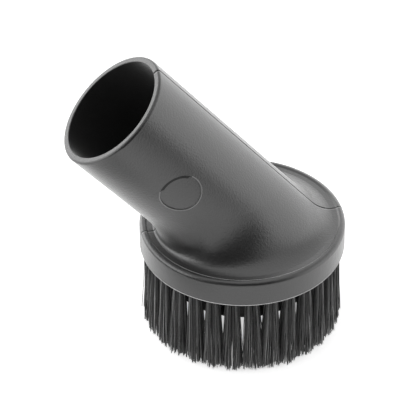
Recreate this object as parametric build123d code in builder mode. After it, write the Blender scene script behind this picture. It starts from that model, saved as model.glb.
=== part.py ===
from build123d import *
from math import cos, pi, radians, sin, sqrt, tan
import os

# A round dusting brush for a vacuum cleaner, in millimetres.
# One moulded housing holds a slanted socket for the wand and a ring of stapled bristle tufts.
# Z = 0 is the plane of the bristle tips, Z is the axis of the brush head, and the socket leans towards -X.

# Brush head
head_r = 33.0
bristle_reach = 27.6
groove_height = 8.95
rim_height = 0.4
rim_width = 1.7
rim_slope = 0.6
groove_width = 1.7
head_edge_round = 1.4
skirt_edge_round = 0.9

# Socket tube
tube_tilt = 40.6
tube_offset = 8.4
tube_length = 76.6
socket_r = 17.5
socket_depth = 30.0
mouth_wall = 2.2
tube_draft = 0.42
duct_wall = 2.6
lip_round = 0.8
bore_round = 0.3

# Flare where the tube grows out of the head
flare_height_front = 16.0
flare_height_right = 3.4
flare_height_left = 10.5
flare_roundness = 0.996
flare_steps = 12
flare_spacing = 2.0

# Round recess for a badge on the side of the tube
badge_r = 6.5
badge_depth = 0.3
badge_up_tube = 49.0

# Collar that keeps the bristles out of the suction duct
collar_gap = 3.0
collar_wall = 2.0
collar_drop = 11.9
collar_draft = 2.0
hopper_ceiling = 0.4
hopper_height = 6.0

# Tufts and the flat wire anchors that hold them
tuft_count = 30
hole_r = 2.1
hole_depth = 6.5
skirt_wall = 1.6
tuft_fit = 0.05
anchor_thickness = 0.35
anchor_height = 1.5
anchor_bite = 0.4
anchor_fit = 0.05
fold_height = 1.2
strand_count = 9
strand_r = 0.62
strand_sides = 5
strand_end_r = 1.0
strand_point = 3.5
strand_seat = 1.5
tuft_sides = 10
tuft_neck = 0.6
tip_half_width = 3.3
tip_half_depth = 2.3
tip_lean = 0.2
tip_scatter = 1.2
trim_depth = 0.4
tuft_patterns = 3
golden_angle = 137.5

skirt_z = bristle_reach
groove_z = skirt_z + groove_height
rim_z = groove_z + rim_height
rim_inner_r = head_r - rim_width
groove_outer_r = rim_inner_r - rim_slope
flare_base_r = groove_outer_r - groove_width
flare_top_z = groove_z + flare_height_front

tilt = radians(tube_tilt)
tube_foot = Vector(tube_offset, 0, skirt_z)
tube_dir = Vector(-sin(tilt), 0, cos(tilt))
tube_axis = Axis(tube_foot, tube_dir)
tube_profile_plane = Plane(tube_foot, x_dir=(cos(tilt), 0, sin(tilt)), z_dir=(0, -1, 0))
mouth = tube_foot + tube_dir * tube_length
mouth_r = socket_r + mouth_wall
tube_growth = tan(radians(tube_draft))
tube_foot_r = mouth_r - tube_growth * tube_length
duct_r = tube_foot_r - duct_wall
socket_floor = tube_length - socket_depth

tuft_circle_r = head_r - skirt_wall - hole_r
collar_r = tuft_circle_r - hole_r - collar_gap
collar_bore_r = collar_r - collar_wall
collar_z = skirt_z - collar_drop
collar_tip_r = collar_r - collar_drop * tan(radians(collar_draft))
hopper_top = groove_z + hopper_ceiling
hopper_bottom = hopper_top - hopper_height

pitch_angle = 360 / tuft_count
tuft_r = hole_r - tuft_fit
anchor_length = 2 * (hole_r + anchor_bite)
anchor_z = skirt_z + hole_depth - fold_height - anchor_height


def cone_section(z, foot_r, growth):
    """Left end, right end and half width where a level plane cuts a cone round the tube's axis."""
    rise = z - skirt_z
    s_right = (rise - foot_r * sin(tilt)) / (cos(tilt) + growth * sin(tilt))
    s_left = (rise + foot_r * sin(tilt)) / (cos(tilt) - growth * sin(tilt))
    r_right = foot_r + growth * s_right
    r_left = foot_r + growth * s_left
    right = tube_offset - s_right * sin(tilt) + r_right * cos(tilt)
    left = tube_offset - s_left * sin(tilt) - r_left * cos(tilt)
    return left, right, sqrt(r_left * r_right)


def flare_spread(z, flare_height):
    """Share of a flare's reach that is left at height z: it follows a quarter of an ellipse."""
    still_to_rise = flare_roundness * max(0, 1 - (z - groove_z) / flare_height)
    return (1 - sqrt(1 - still_to_rise**2)) / (1 - sqrt(1 - flare_roundness**2))


def flare_section(z):
    """The tube's level section at height z, widened by what is left of the flare on each side."""
    left, right, half_width = cone_section(z, tube_foot_r, tube_growth)
    left_0, right_0, half_width_0 = cone_section(groove_z, tube_foot_r, tube_growth)
    left -= (flare_base_r + left_0) * flare_spread(z, flare_height_left)
    right += (flare_base_r - right_0) * flare_spread(z, flare_height_right)
    half_width += (flare_base_r - half_width_0) * flare_spread(z, flare_height_front)
    return left, right, half_width


def level_ellipse(z, section):
    """A flat ellipse at height z from its left end, right end and half width."""
    left, right, half_width = section
    with BuildSketch(Plane.XY.offset(z)) as level:
        with Locations(((left + right) / 2, 0)):
            Ellipse((right - left) / 2, half_width)
    return level.sketch


# Head: the brush block with its raised rim, its groove and the collar below
with BuildPart() as head:
    with BuildSketch(Plane.XZ):
        with BuildLine():
            Polyline(
                (0, collar_z),
                (collar_tip_r, collar_z),
                (collar_r, skirt_z),
                (head_r, skirt_z),
                (head_r, rim_z),
                (rim_inner_r, rim_z),
                (groove_outer_r, groove_z),
                (0, groove_z),
                close=True,
            )
        make_face()
    revolve(axis=Axis.Z)
    rim_edge = head.edges().filter_by(GeomType.CIRCLE).group_by(Axis.Z)[-1].sort_by(SortBy.RADIUS)[-1]
    fillet(rim_edge, head_edge_round)
    skirt_edge = head.edges().filter_by(GeomType.CIRCLE).sort_by(SortBy.RADIUS)[-2:].sort_by(Axis.Z)[0]
    fillet(skirt_edge, skirt_edge_round)

# Tube: a drafted socket with a rounded lip, cut level where the flare takes over
with BuildPart() as tube:
    with BuildSketch(tube_profile_plane):
        with BuildLine():
            Polyline(
                (0, -mouth_r),
                (tube_foot_r - tube_growth * mouth_r, -mouth_r),
                (mouth_r, tube_length),
                (0, tube_length),
                close=True,
            )
        make_face()
    revolve(axis=tube_axis)
    fillet(tube.faces().sort_by(tube_axis)[-1].edges(), lip_round)
    split(bisect_by=Plane.XY.offset(flare_top_z), keep=Keep.TOP)

# Flare: level sections that widen from the tube to a round foot on the head
with BuildPart() as flare:
    for step in range(flare_steps + 1):
        level = groove_z + flare_height_front * (step / flare_steps) ** flare_spacing
        add(level_ellipse(level, flare_section(level)))
    loft()

# Core: everything that the suction air passes through
with BuildPart() as core:
    with BuildSketch(tube_profile_plane):
        with BuildLine():
            Polyline(
                (0, -tube_foot_r),
                (duct_r, -tube_foot_r),
                (duct_r, socket_floor),
                (socket_r, socket_floor),
                (socket_r, tube_length + mouth_wall),
                (0, tube_length + mouth_wall),
                close=True,
            )
        make_face()
    revolve(axis=tube_axis)
    split(bisect_by=Plane.XY.offset(hopper_top), keep=Keep.TOP)
    add(level_ellipse(hopper_top, cone_section(hopper_top, duct_r, 0)))
    add(level_ellipse(hopper_bottom, (-collar_bore_r, collar_bore_r, collar_bore_r)))
    loft()
    with BuildSketch(Plane.XY.offset(hopper_bottom)):
        Circle(collar_bore_r)
    extrude(amount=collar_z - hopper_bottom - collar_wall)

# Badge: a round pin whose end follows the tube
with BuildPart() as badge:
    with BuildSketch(Plane(tube_foot + tube_dir * badge_up_tube, x_dir=tube_dir, z_dir=(0, -1, 0))):
        Circle(badge_r)
    extrude(amount=mouth_r + mouth_wall)
    with BuildSketch(tube_profile_plane):
        with BuildLine():
            Polyline(
                (0, 0),
                (tube_foot_r - badge_depth, 0),
                (mouth_r - badge_depth, tube_length),
                (0, tube_length),
                close=True,
            )
        make_face()
    revolve(axis=tube_axis, mode=Mode.SUBTRACT)

with BuildPart() as housing:
    add(head.part)
    add(flare.part)
    add(tube.part)
    add(core.part, mode=Mode.SUBTRACT)
    add(badge.part, mode=Mode.SUBTRACT)
    fillet(housing.faces().sort_by(tube_axis)[-1].inner_wires()[0].edges(), bore_round)
    with BuildSketch(Plane.XY.offset(skirt_z)):
        with PolarLocations(tuft_circle_r, tuft_count):
            Circle(hole_r)
    extrude(amount=hole_depth, mode=Mode.SUBTRACT)
    with BuildSketch(Plane.XY.offset(skirt_z)):
        with PolarLocations(tuft_circle_r, tuft_count):
            Rectangle(anchor_length + 2 * anchor_fit, anchor_thickness + 2 * anchor_fit)
    extrude(amount=anchor_z - skirt_z + anchor_height + anchor_fit, mode=Mode.SUBTRACT)
housing.part.label = "housing"

# Anchors: a flat wire driven across the bottom of each hole, through the fold of its tuft
with BuildPart() as anchors:
    with BuildSketch(Plane.XY.offset(anchor_z)):
        with PolarLocations(tuft_circle_r, tuft_count):
            Rectangle(anchor_length, anchor_thickness)
    extrude(amount=anchor_height)
anchors.part.label = "tuft_anchors"


def strand_corners(pattern, number):
    """Corners of one strand of a tuft on the +X side: it thickens from its root, then runs to a point."""
    spread = sqrt((number + 0.5) / strand_count)
    turn = radians(golden_angle * (number + pattern * strand_count))
    root_spread = spread * (tuft_r - strand_r)
    trim = tip_scatter * sin(golden_angle * (number + pattern)) - trim_depth
    root = Vector(tuft_circle_r + root_spread * cos(turn), root_spread * sin(turn), skirt_z + strand_seat)
    tip = Vector(
        tuft_circle_r + tip_lean + (tip_half_depth - strand_end_r) * spread * cos(turn),
        (tip_half_width - strand_end_r) * spread * sin(turn),
        trim,
    )
    root_plane = Plane(root, x_dir=(cos(turn), 0, sin(turn)), z_dir=tip - root)
    belly_plane = root_plane.offset((tip - root).length - strand_point)
    corners = [tip]
    for side in range(strand_sides):
        angle = 2 * pi * side / strand_sides
        corners.append(root_plane.from_local_coords((strand_r * cos(angle), strand_r * sin(angle), 0)))
        corners.append(belly_plane.from_local_coords((strand_end_r * cos(angle), strand_end_r * sin(angle), 0)))
    return corners


def bristle_tuft(pattern):
    """A tuft on the +X side: the fold round its anchor in the hole, and strands that fan out below."""
    with BuildPart() as tuft:
        with BuildSketch(Plane.XY.offset(skirt_z - tuft_neck)):
            with Locations((tuft_circle_r, 0)):
                RegularPolygon(tuft_r, tuft_sides)
        extrude(amount=tuft_neck + hole_depth - tuft_fit)
        for number in range(strand_count):
            ConvexPolyhedron(strand_corners(pattern, number))
        with BuildSketch(Plane.XY.offset(anchor_z - anchor_fit)):
            with Locations((tuft_circle_r, 0)):
                Rectangle(anchor_length + 2 * anchor_fit, anchor_thickness + 2 * anchor_fit)
        extrude(amount=anchor_height + 2 * anchor_fit, mode=Mode.SUBTRACT)
        split(bisect_by=Plane.XY, keep=Keep.TOP)
    return tuft.part


os.makedirs("parts", exist_ok=True)
export_step(housing.part, "parts/housing.step")
export_step(anchors.part, "parts/tuft_anchors.step")

patterns = [bristle_tuft(pattern) for pattern in range(tuft_patterns)]
for index in range(tuft_count):
    with BuildPart() as tuft:
        add(patterns[index % tuft_patterns], rotation=(0, 0, pitch_angle * index))
    tuft.part.label = f"tuft_{index + 1:02d}"
    export_step(tuft.part, f"parts/{tuft.part.label}.step")
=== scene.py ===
import math
import random

import bpy
from mathutils import Matrix, Vector


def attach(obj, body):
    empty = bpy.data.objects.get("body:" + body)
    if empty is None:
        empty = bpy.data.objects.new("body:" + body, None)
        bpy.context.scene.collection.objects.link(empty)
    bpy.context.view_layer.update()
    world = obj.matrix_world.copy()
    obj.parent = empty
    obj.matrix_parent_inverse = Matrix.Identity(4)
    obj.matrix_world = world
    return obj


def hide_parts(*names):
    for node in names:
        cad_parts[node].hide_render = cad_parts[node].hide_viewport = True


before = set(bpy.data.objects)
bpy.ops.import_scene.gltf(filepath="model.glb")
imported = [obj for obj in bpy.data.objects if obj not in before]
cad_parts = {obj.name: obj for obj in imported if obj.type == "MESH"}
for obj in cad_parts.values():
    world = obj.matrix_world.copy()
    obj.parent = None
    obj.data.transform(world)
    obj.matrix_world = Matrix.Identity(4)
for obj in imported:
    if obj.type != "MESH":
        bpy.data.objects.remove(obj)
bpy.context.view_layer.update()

# A dusting brush for a vacuum cleaner: one dark moulding and a ring of thirty stapled tufts.
# Everything is in metres. Z = 0 is the plane of the bristle tips, and the brush head's axis is Z.

mm = 0.001
seen_from_above = (1, 1, 0)
seen_from_front = (1, 0, 1)

# Camera
camera_place = Vector((-0.13880, -0.63699, 0.54455))
camera_azimuth = math.radians(-11.385)
camera_elevation = math.radians(37.717)
camera_roll = math.radians(-0.076)
camera_lens = 221.1
camera_clip = 0.01

# Housing
tube_tilt = math.radians(40.6)
tube_foot = Vector((8.4, 0, 27.6)) * mm
tube_dir = Vector((-math.sin(tube_tilt), 0, math.cos(tube_tilt)))
mouth_start = 76.2 * mm
low_lip_x = -54.5 * mm
bore_r = 17.6 * mm
bore_bottom = 50 * mm
outer_r = 17.7 * mm
head_top = 37 * mm
head_outer_x = 26 * mm
skirt_z = 27.6 * mm
head_seam_half_width = 0.2 * mm
tube_seam_half_width = 0.33 * mm
# Width of the painted highlight along one side of the seam
painted_seam_highlight_width = 0.6 * mm
# A band along the head's lower edge where a highlight is painted
edge_highlight_low = 27.65 * mm
edge_highlight_high = 28.3 * mm
edge_highlight_r = 32.4 * mm
badge_centre = tube_foot + tube_dir * 49 * mm
badge_r = 6.5 * mm
badge_wall_width = 0.15 * mm
badge_edge_width = 0.3 * mm
# Painted shade along the badge recess's upper edge: its width, where it starts and its side
badge_shade_width = 0.9 * mm
badge_shade_from = 0.6 * badge_r
badge_shade_side = Vector((-0.36, 0, 0.93))

# Tufts
tuft_count = 30
tuft_circle = 29.3 * mm
hole_radius = 2.05 * mm
hole_top = 34.1 * mm
anchor_top = 32.9 * mm
anchor_half_thickness = 0.175 * mm
fold_steps = 4
fold_rise_inside = 0.25
fold_rise_outwards = 0.6
bristle_radius = 0.12 * mm
bristle_pitch = 0.26 * mm
bristle_jitter = 0.02 * mm
bristle_sides = 4
bristle_bends = 5
clump_count = 34
clump_pull = 0.5
clump_power = 1.6
clump_sway = 0.35 * mm
clump_point = 0.4
clump_ragged = 0.55 * mm
fan_width = 2.25
fan_depth = 1.35
fan_lean = 0.4 * mm
fan_power = 0.7
tuft_sway = 0.35 * mm
tip_scatter = 0.24 * mm
tip_ragged = 0.4 * mm
shortest_trim = 0.05 * mm
ripple = 0.14 * mm
ripple_turn = 7
ripple_shift = 1
golden_angle = math.radians(137.5)

# Finish of the plastic, with greys and roughness from 0 to 1
grain_size = 0.6 * mm
grain_depth = 0.09 * mm
grain_share = 0.4
grain_roughness = 0.05
cloud_size = 9 * mm
cloud_share = 0.6
cloud_roughness = 0.06
plastic_roughness = 0.28
plastic_darkest = 0.015
plastic_palest = 0.025
# Greys of the painted highlights: beside the seam, round the badge's lower side and along the head's lower
# edge
painted_seam_highlight_grey = 0.11
badge_highlight_grey = 0.17
edge_highlight_grey = 0.7
# A dark matt finish for the seam line and for painted shade in the badge recess, the bore and the mouth's
# rim face
seam_and_shade_grey = 0.01
badge_shade_strength = 0.7
bore_shade_strength = 0.3
mouth_shade_strength = 0.22

# Finish of the bristles
streak_size = 0.6 * mm
streak_depth = 0.01 * mm
streak_roughness = 0.08
streak_lift = 0.5
own_roughness = 0.12
nylon_roughness = 0.32
nylon_darkest = 0.003
nylon_palest = 0.46
nylon_contrast = 2.5
# Painted shade in the clefts between tufts
cleft_shade_strength = 0.9
cleft_share = 0.22
cleft_blur = 0.1
half_a_tuft = 0.5

# Finish of the anchors
drawn_size = 0.2 * mm
drawn_depth = 0.003 * mm
drawn_roughness = 0.15
steel_roughness = 0.3
steel_darkest = 0.45
steel_palest = 0.62

# Studio
floor_width = 6
floor_grey = 0.88
floor_lift_direct = 0.6
floor_lift_mirrored = 0.85
felt_grey = 0.01
sky_glow = 0.3
light_aim = Vector((0, 0, 0.04))
upright = math.pi / 2


class Wire:
    """A node's output that takes part in sums like a number; each step adds its own Math node."""

    def __init__(self, bench, socket):
        self.bench = bench
        self.socket = socket

    def math(self, operation, first, second=0.0):
        return self.bench.node("ShaderNodeMath", {"operation": operation}, {0: first, 1: second})

    def __add__(self, other):
        return self.math("ADD", self, other)

    def __radd__(self, other):
        return self.math("ADD", other, self)

    def __sub__(self, other):
        return self.math("SUBTRACT", self, other)

    def __rsub__(self, other):
        return self.math("SUBTRACT", other, self)

    def __mul__(self, other):
        return self.math("MULTIPLY", self, other)

    def __rmul__(self, other):
        return self.math("MULTIPLY", other, self)

    def __lt__(self, other):
        return self.math("LESS_THAN", self, other)

    def __gt__(self, other):
        return self.math("GREATER_THAN", self, other)

    def __abs__(self):
        return self.math("ABSOLUTE", self)

    def either(self, other):
        return self.math("MAXIMUM", self, other)

    def power(self, exponent):
        return self.math("POWER", self, exponent)


class Bench:
    """The node tree of one material or world."""

    def __init__(self, owner):
        owner.use_nodes = True
        self.tree = owner.node_tree
        self.tree.nodes.clear()

    def node(self, kind, settings=None, sockets=None, output=0):
        """Makes a node: its type, its settings, then the values or wires of its sockets."""
        made = self.tree.nodes.new(kind)
        for name, value in (settings or {}).items():
            setattr(made, name, value)
        for name, value in (sockets or {}).items():
            if isinstance(value, Wire):
                self.tree.links.new(value.socket, made.inputs[name])
            else:
                made.inputs[name].default_value = value
        if made.outputs:
            return Wire(self, made.outputs[output])

    def place(self):
        """The point on the piece in the object's own frame, in metres."""
        return self.node("ShaderNodeTexCoord", output="Object")

    def noise(self, size, detail):
        """Soft random patches about as large as size, from 0 to 1."""
        sockets = {"Vector": self.place(), "Scale": 1 / size, "Detail": detail}
        return self.node("ShaderNodeTexNoise", {}, sockets, "Fac")

    def between(self, share, low, high):
        """A colour between low and high."""
        return self.node("ShaderNodeMix", {"data_type": "RGBA"}, {0: share, 6: low, 7: high}, 2)

    def part(self, vector, axis):
        """One of a vector's three numbers."""
        return self.node("ShaderNodeSeparateXYZ", {}, {"Vector": vector}, axis)

    def vector(self, operation, first, second, output="Vector"):
        """A sum of two vectors, or with the output Value a number made from them."""
        return self.node("ShaderNodeVectorMath", {"operation": operation}, {0: first, 1: second}, output)

    def length(self, vector):
        """How long a vector is."""
        return self.node("ShaderNodeVectorMath", {"operation": "LENGTH"}, {0: vector}, "Value")

    def bump(self, height, distance):
        """The slope of a surface whose height varies by up to that distance."""
        return self.node("ShaderNodeBump", {}, {"Distance": distance, "Height": height})

    def plain(self, sockets):
        """An ordinary surface."""
        return self.node("ShaderNodeBsdfPrincipled", {}, sockets)

    def finish(self, shader):
        """Gives the material that surface."""
        self.node("ShaderNodeOutputMaterial", {}, {"Surface": shader})


def grey(level):
    """A neutral colour of that level."""
    return (level, level, level, 1.0)


def from_tube(bench, place):
    """How far up the tube's axis a point lies, and how far off that axis."""
    from_foot = bench.vector("SUBTRACT", place, tube_foot)
    along = bench.vector("DOT_PRODUCT", from_foot, tube_dir, "Value")
    off = bench.length(bench.vector("CROSS_PRODUCT", from_foot, tube_dir))
    return along, off


def mould_seam(bench, place, off_tube):
    """The parting line of the mould on the outer surfaces, and a painted highlight along one side of it."""
    sideways = bench.part(place, "X")
    across = bench.part(place, "Y")
    height = bench.part(place, "Z")
    on_tube = (height > head_top) * (off_tube > outer_r) * (sideways > low_lip_x)
    on_head = (height < head_top) * (height > skirt_z) * (abs(sideways) > head_outer_x)
    outside = on_tube.either(on_head)
    half_width = head_seam_half_width + on_tube * (tube_seam_half_width - head_seam_half_width)
    on_line = abs(across) < half_width
    past_line = across + half_width
    # A painted highlight along one side of the seam
    on_painted_highlight = (past_line < 0) * (past_line > -painted_seam_highlight_width)
    return on_line * outside, on_painted_highlight * outside


def painted_edge_highlight(bench, place):
    """A band on the head's lower edge where a highlight is painted."""
    height = bench.part(place, "Z")
    from_axis = bench.length(bench.vector("MULTIPLY", place, seen_from_above))
    return (height > edge_highlight_low) * (height < edge_highlight_high) * (from_axis > edge_highlight_r)


def badge_painted_light(bench, place, off_tube):
    """The wall and edge of the round badge recess: a painted highlight on its lower side and painted shade
    on its upper one.
    """
    from_centre = bench.vector("SUBTRACT", place, badge_centre)
    radius = bench.length(bench.vector("MULTIPLY", from_centre, seen_from_front))
    upper = bench.vector("DOT_PRODUCT", from_centre, badge_shade_side, "Value") > badge_shade_from
    outside = (bench.part(place, "Y") < 0) * (off_tube > outer_r)
    # Painted highlight on the ring's lower side, painted shade on its upper side
    badge_painted_highlight = (radius > badge_r - badge_wall_width) * (radius < badge_r + badge_edge_width) * (1 - upper)
    badge_painted_shade = (radius > badge_r - badge_shade_width) * (radius < badge_r + badge_wall_width) * upper
    return badge_painted_highlight * outside, badge_painted_shade * outside


def moulded_plastic():
    """Dark grey plastic with the fine grain of its mould and a satin shine, with painted highlights, and a
    dark matt surface mixed in for the seam line and for painted shade.
    """
    material = bpy.data.materials.new("moulded_plastic")
    bench = Bench(material)
    place = bench.place()
    along_tube, off_tube = from_tube(bench, place)
    grain = bench.noise(grain_size, detail=3.0)
    cloud = bench.noise(cloud_size, detail=3.0)
    seam, painted_seam_highlight = mould_seam(bench, place, off_tube)
    badge_painted_highlight, badge_painted_shade = badge_painted_light(bench, place, off_tube)
    tone = cloud * cloud_share + grain * grain_share
    colour = bench.between(tone, grey(plastic_darkest), grey(plastic_palest))
    # Painted highlights beside the seam, round the badge's lower side and along the head's lower edge
    colour = bench.between(painted_seam_highlight, colour, grey(painted_seam_highlight_grey))
    colour = bench.between(badge_painted_highlight, colour, grey(badge_highlight_grey))
    colour = bench.between(painted_edge_highlight(bench, place), colour, grey(edge_highlight_grey))
    satin = bench.plain(
        {
            "Base Color": colour,
            "Roughness": plastic_roughness + cloud * cloud_roughness + grain * grain_roughness,
            "Specular IOR Level": 0.65,
            "Coat Weight": 0.2,
            "Coat Roughness": 0.3,
            "Sheen Weight": 0.9,
            "Sheen Roughness": 0.3,
            "Normal": bench.bump(grain, grain_depth),
        }
    )
    # A dark matt surface, mixed in for the seam line and for painted shade in the badge recess, the bore and
    # the mouth's rim face
    seam_and_shade_matt = bench.plain({"Base Color": grey(seam_and_shade_grey), "Roughness": 0.9, "Specular IOR Level": 0.1})
    # Painted shade inside the bore
    in_bore = (off_tube < bore_r) * (bench.part(place, "Z") > bore_bottom)
    # Painted shade on the mouth's rim face
    on_mouth = along_tube > mouth_start
    seam_and_painted_shade = seam.either(badge_painted_shade * badge_shade_strength)
    seam_and_painted_shade = seam_and_painted_shade.either(in_bore * bore_shade_strength).either(on_mouth * mouth_shade_strength)
    bench.finish(bench.node("ShaderNodeMixShader", {}, {0: seam_and_painted_shade, 1: satin, 2: seam_and_shade_matt}))
    return material


def cleft(bench, place):
    """How deep a point lies between two tufts, from 0 to 1, for the painted shade there; the clefts close
    towards the tips.
    """
    towards = {0: bench.part(place, "Y"), 1: bench.part(place, "X")}
    turn = bench.node("ShaderNodeMath", {"operation": "ARCTAN2"}, towards)
    tufts_round = turn * (tuft_count / math.tau) + half_a_tuft
    across_tuft = bench.node("ShaderNodeMath", {"operation": "FRACT"}, {0: tufts_round})
    from_middle = abs(across_tuft - half_a_tuft)
    edge = half_a_tuft - bench.part(place, "Z") * (cleft_share / skirt_z)
    past_edge = {0: from_middle - edge, 1: 1 / cleft_blur}
    return bench.node("ShaderNodeMath", {"operation": "MULTIPLY", "use_clamp": True}, past_edge)


def bristle_nylon():
    """Black nylon filament; each one has its own tone, and those in the clefts between tufts get painted
    shade.
    """
    material = bpy.data.materials.new("bristle_nylon")
    bench = Bench(material)
    own = bench.node("ShaderNodeNewGeometry", output="Random Per Island")
    streak = bench.noise(streak_size, detail=2.0)
    # Painted shade in the clefts between tufts
    in_light = 1 - cleft(bench, bench.place()) * cleft_shade_strength
    tone = own.power(nylon_contrast) * (streak + streak_lift) * in_light
    nylon = bench.plain(
        {
            "Base Color": bench.between(tone, grey(nylon_darkest), grey(nylon_palest)),
            "Roughness": nylon_roughness + own * own_roughness + streak * streak_roughness,
            "Specular IOR Level": 0.24,
            "Normal": bench.bump(streak, streak_depth),
        }
    )
    bench.finish(nylon)
    return material


def anchor_wire():
    """Flat zinc-plated steel wire."""
    material = bpy.data.materials.new("anchor_wire")
    bench = Bench(material)
    drawn = bench.noise(drawn_size, detail=2.0)
    steel = bench.plain(
        {
            "Base Color": bench.between(drawn, grey(steel_darkest), grey(steel_palest)),
            "Metallic": 1.0,
            "Roughness": steel_roughness + drawn * drawn_roughness,
            "Normal": bench.bump(drawn, drawn_depth),
        }
    )
    bench.finish(steel)
    return material


def half_disc():
    """Where doubled bristles stand on one side of the anchor, as (out from the head, beside the anchor)."""
    roots = []
    row_step = bristle_pitch * math.sqrt(3) / 2
    first_row = anchor_half_thickness + bristle_radius + bristle_jitter
    room = hole_radius - bristle_radius - bristle_jitter
    row = 0
    while first_row + row * row_step < room:
        beside = first_row + row * row_step
        reach = math.sqrt(room**2 - beside**2)
        shift = bristle_pitch / 2 * (row % 2)
        across = -math.floor((reach + shift) / bristle_pitch) * bristle_pitch + shift
        while across <= reach:
            roots.append((across, beside))
            across += bristle_pitch
        row += 1
    return roots


class Clump:
    """A few bristles of a tuft that cling together towards their tips; the clumps' roots lie on a spiral."""

    def __init__(self, number, lean, draw):
        spread = math.sqrt((number + 0.5) / clump_count)
        turn = number * golden_angle
        self.root = Vector((math.cos(turn), math.sin(turn))) * spread * hole_radius
        past_anchor = self.root.y * (1 - (anchor_half_thickness + bristle_radius) / hole_radius)
        self.tip = Vector((self.root.x * fan_depth, past_anchor * fan_width)) + lean
        self.tip += Vector((draw.gauss(0, 1), draw.gauss(0, 1))) * clump_sway
        self.trim = shortest_trim + draw.uniform(0, clump_ragged)
        self.phase = draw.uniform(0, math.tau)


def bristle_line(across, beside, lean, clumps, draw):
    """The points of one free bristle from the hole's mouth to its tip, in the tuft's own frame."""
    root = Vector((across, beside))
    clump = min(clumps, key=lambda c: (c.root - root).length)
    past_anchor = beside - math.copysign(anchor_half_thickness + bristle_radius, beside)
    own_tip = Vector((across * fan_depth, past_anchor * fan_width)) + lean
    scatter = Vector((draw.gauss(0, 1), draw.gauss(0, 1))) * tip_scatter
    pull = (clump.tip - own_tip) * clump_pull + scatter
    tip_height = clump.trim + clump_point * (clump.root - root).length + abs(draw.gauss(0, tip_ragged))
    phase = clump.phase + draw.uniform(-ripple_shift, ripple_shift)
    points = []
    for bend in range(bristle_bends + 1):
        share = bend / bristle_bends
        flat = root.lerp(own_tip, share**fan_power) + pull * share**clump_power
        sway = ripple * math.sin(phase + ripple_turn * share) * share
        points.append(Vector((flat.x + sway, flat.y + sway, skirt_z + (tip_height - skirt_z) * share)))
    return points


def doubled_bristle(across, beside, lean, clumps, draw):
    """A bristle folded over the anchor: up on one side, over the top and down on the other."""
    down = bristle_line(across, beside, lean, clumps, draw)
    up = bristle_line(across, -beside, lean, clumps, draw)
    rise = (hole_top - anchor_top) * (fold_rise_inside + fold_rise_outwards * beside / hole_radius)
    over = []
    for step in range(fold_steps + 1):
        turn = math.pi * step / fold_steps
        over.append(Vector((across, -beside * math.cos(turn), anchor_top + rise * math.sin(turn))))
    return up[::-1] + over + down


def sweep(points, corners, faces):
    """Adds a thin rod along the points, closed at both ends."""
    first = len(corners)
    side = Vector((1, 0, 0))
    for index, point in enumerate(points):
        ahead = points[min(index + 1, len(points) - 1)]
        behind = points[max(index - 1, 0)]
        along = (ahead - behind).normalized()
        side = (side - along * side.dot(along)).normalized()
        other = along.cross(side)
        for corner in range(bristle_sides):
            turn = math.tau * (corner + 0.5) / bristle_sides
            corners.append(point + (side * math.cos(turn) + other * math.sin(turn)) * bristle_radius)
    for index in range(len(points) - 1):
        ring = first + index * bristle_sides
        above = ring + bristle_sides
        for corner in range(bristle_sides):
            beyond = (corner + 1) % bristle_sides
            faces.append((ring + corner, ring + beyond, above + beyond, above + corner))
    last = first + (len(points) - 1) * bristle_sides
    faces.append(tuple(first + corner for corner in reversed(range(bristle_sides))))
    faces.append(tuple(last + corner for corner in range(bristle_sides)))


def tuft(number, material):
    """One tuft in its hole, spread into a fan, as separate bristles."""
    draw = random.Random(number)
    lean = Vector((fan_lean, draw.gauss(0, tuft_sway)))
    clumps = [Clump(index, lean, draw) for index in range(clump_count)]
    corners = []
    faces = []
    for across, beside in half_disc():
        across += draw.uniform(-bristle_jitter, bristle_jitter)
        sweep(doubled_bristle(across, beside, lean, clumps, draw), corners, faces)
    mesh = bpy.data.meshes.new(f"bristles_{number:02d}")
    mesh.from_pydata([tuple(corner) for corner in corners], [], faces)
    mesh.shade_smooth()
    turn = math.tau * (number - 1) / tuft_count
    mesh.transform(Matrix.Rotation(turn, 4, "Z") @ Matrix.Translation((tuft_circle, 0, 0)))
    mesh.materials.append(material)
    piece = bpy.data.objects.new(mesh.name, mesh)
    bpy.context.scene.collection.objects.link(piece)
    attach(piece, "root")
    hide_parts(f"tuft_{number:02d}")


def dress(node, material):
    """Gives a CAD node its finish."""
    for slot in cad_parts[node].material_slots:
        slot.material = material


def camera():
    """The photograph's view."""
    lens = bpy.data.cameras.new("camera")
    lens.lens = camera_lens
    lens.clip_start = camera_clip
    made = bpy.data.objects.new("camera", lens)
    made.matrix_world = (
        Matrix.Translation(camera_place)
        @ Matrix.Rotation(camera_azimuth, 4, "Z")
        @ Matrix.Rotation(upright - camera_elevation, 4, "X")
        @ Matrix.Rotation(camera_roll, 4, "Z")
    )
    bpy.context.scene.collection.objects.link(made)
    bpy.context.scene.camera = made


def softbox(name, place, width, height, glow):
    """A flat soft light turned to the brush, whose face has that brightness."""
    light = bpy.data.lights.new(name, "AREA")
    light.shape = "RECTANGLE"
    light.size = width
    light.size_y = height
    light.energy = glow * math.pi * width * height
    made = bpy.data.objects.new(name, light)
    made.location = place
    made.rotation_euler = (light_aim - Vector(place)).to_track_quat("-Z", "Y").to_euler()
    bpy.context.scene.collection.objects.link(made)


def flat_card(name, width, height, material):
    """A flat sheet round the origin that isn't part of the brush."""
    mesh = bpy.data.meshes.new(name)
    half_width = width / 2
    half_height = height / 2
    mesh.from_pydata(
        [
            (-half_width, -half_height, 0),
            (half_width, -half_height, 0),
            (half_width, half_height, 0),
            (-half_width, half_height, 0),
        ],
        [],
        [(0, 1, 2, 3)],
    )
    mesh.materials.append(material)
    made = bpy.data.objects.new(name, mesh)
    bpy.context.scene.collection.objects.link(made)
    return made


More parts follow.
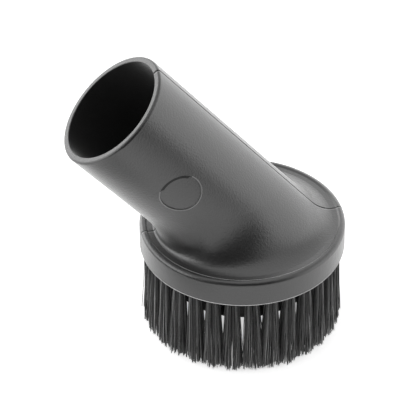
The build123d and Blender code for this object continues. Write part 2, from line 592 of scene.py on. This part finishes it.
def shine_card(name, material, width, height, distance, lift, azimuth, slope):
    """A card that faces the brush from that azimuth and slope, and shows only in its shine."""
    card = flat_card(name, width, height, material)
    facing = Matrix.Rotation(azimuth, 4, "Z") @ Matrix.Rotation(slope, 4, "X")
    card.matrix_world = Matrix.Translation((0, 0, lift)) @ facing @ Matrix.Translation((0, 0, distance))
    card.visible_camera = False
    card.visible_diffuse = False
    card.visible_shadow = False


def seen(bench):
    """1 where the camera sees the backdrop itself, and 1 where it shows in gloss or through glass."""
    camera_ray = bench.node("ShaderNodeLightPath", output="Is Camera Ray")
    glossy_ray = bench.node("ShaderNodeLightPath", output="Is Glossy Ray")
    through_ray = bench.node("ShaderNodeLightPath", output="Is Transmission Ray")
    return camera_ray, glossy_ray.either(through_ray)


def floor_paper():
    """Plain white paper, a little brighter where it is seen directly or in a shine."""
    material = bpy.data.materials.new("floor_paper")
    bench = Bench(material)
    direct, mirrored = seen(bench)
    lift = bench.between(mirrored, grey(0.0), grey(floor_lift_mirrored))
    lift = bench.between(direct, lift, grey(floor_lift_direct))
    bench.finish(
        bench.plain(
            {
                "Base Color": grey(floor_grey),
                "Roughness": 0.9,
                "Emission Color": lift,
                "Emission Strength": 1.0,
            }
        )
    )
    return material


def black_felt():
    """A dark cloth that keeps parts of the studio from shining."""
    material = bpy.data.materials.new("black_felt")
    bench = Bench(material)
    bench.finish(bench.plain({"Base Color": grey(felt_grey), "Roughness": 1.0}))
    return material


def white_sky():
    """Even white light from all round, plain white where it is seen directly or in a shine."""
    world = bpy.data.worlds.new("studio")
    bpy.context.scene.world = world
    bench = Bench(world)
    direct, mirrored = seen(bench)
    strength = sky_glow + direct.either(mirrored) * (1 - sky_glow)
    white = bench.node("ShaderNodeBackground", {}, {"Color": grey(1.0), "Strength": strength})
    bench.node("ShaderNodeOutputWorld", {}, {"Surface": white})


def dark_cards():
    """A large card behind the camera, a low one in front of the brush and a small flag at its left foot."""
    felt = black_felt()
    shine_card(
        "camera_card",
        felt,
        width=1.7,
        height=1.2,
        distance=1.4,
        lift=0.0,
        azimuth=camera_azimuth,
        slope=upright - camera_elevation,
    )
    shine_card(
        "low_card",
        felt,
        width=0.86,
        height=0.2,
        distance=0.3,
        lift=0.1,
        azimuth=math.radians(-12),
        slope=upright,
    )
    shine_card(
        "left_flag",
        felt,
        width=0.11,
        height=0.026,
        distance=0.07,
        lift=0.019,
        azimuth=math.radians(-70),
        slope=upright,
    )


def studio():
    """White floor and surroundings, dark cards and soft lights on all sides."""
    flat_card("floor", floor_width, floor_width, floor_paper())
    dark_cards()
    softbox("left_box", place=(-0.75, 0.0, 0.25), width=0.8, height=0.5, glow=2.4)
    softbox("right_box", place=(0.75, -0.05, 0.2), width=1.1, height=0.6, glow=1.4)
    softbox("back_box", place=(0.35, 0.75, 0.3), width=1.0, height=0.6, glow=1.4)
    softbox("back_left_box", place=(-0.5, 0.65, 0.25), width=0.6, height=0.5, glow=3.0)
    softbox("top_box", place=(0, 0.15, 0.9), width=1.4, height=1.4, glow=0.45)
    white_sky()


bpy.context.scene.view_settings.view_transform = "Standard"
camera()
studio()
dress("housing", moulded_plastic())
dress("tuft_anchors", anchor_wire())
nylon = bristle_nylon()
for number in range(1, tuft_count + 1):
    tuft(number, nylon)
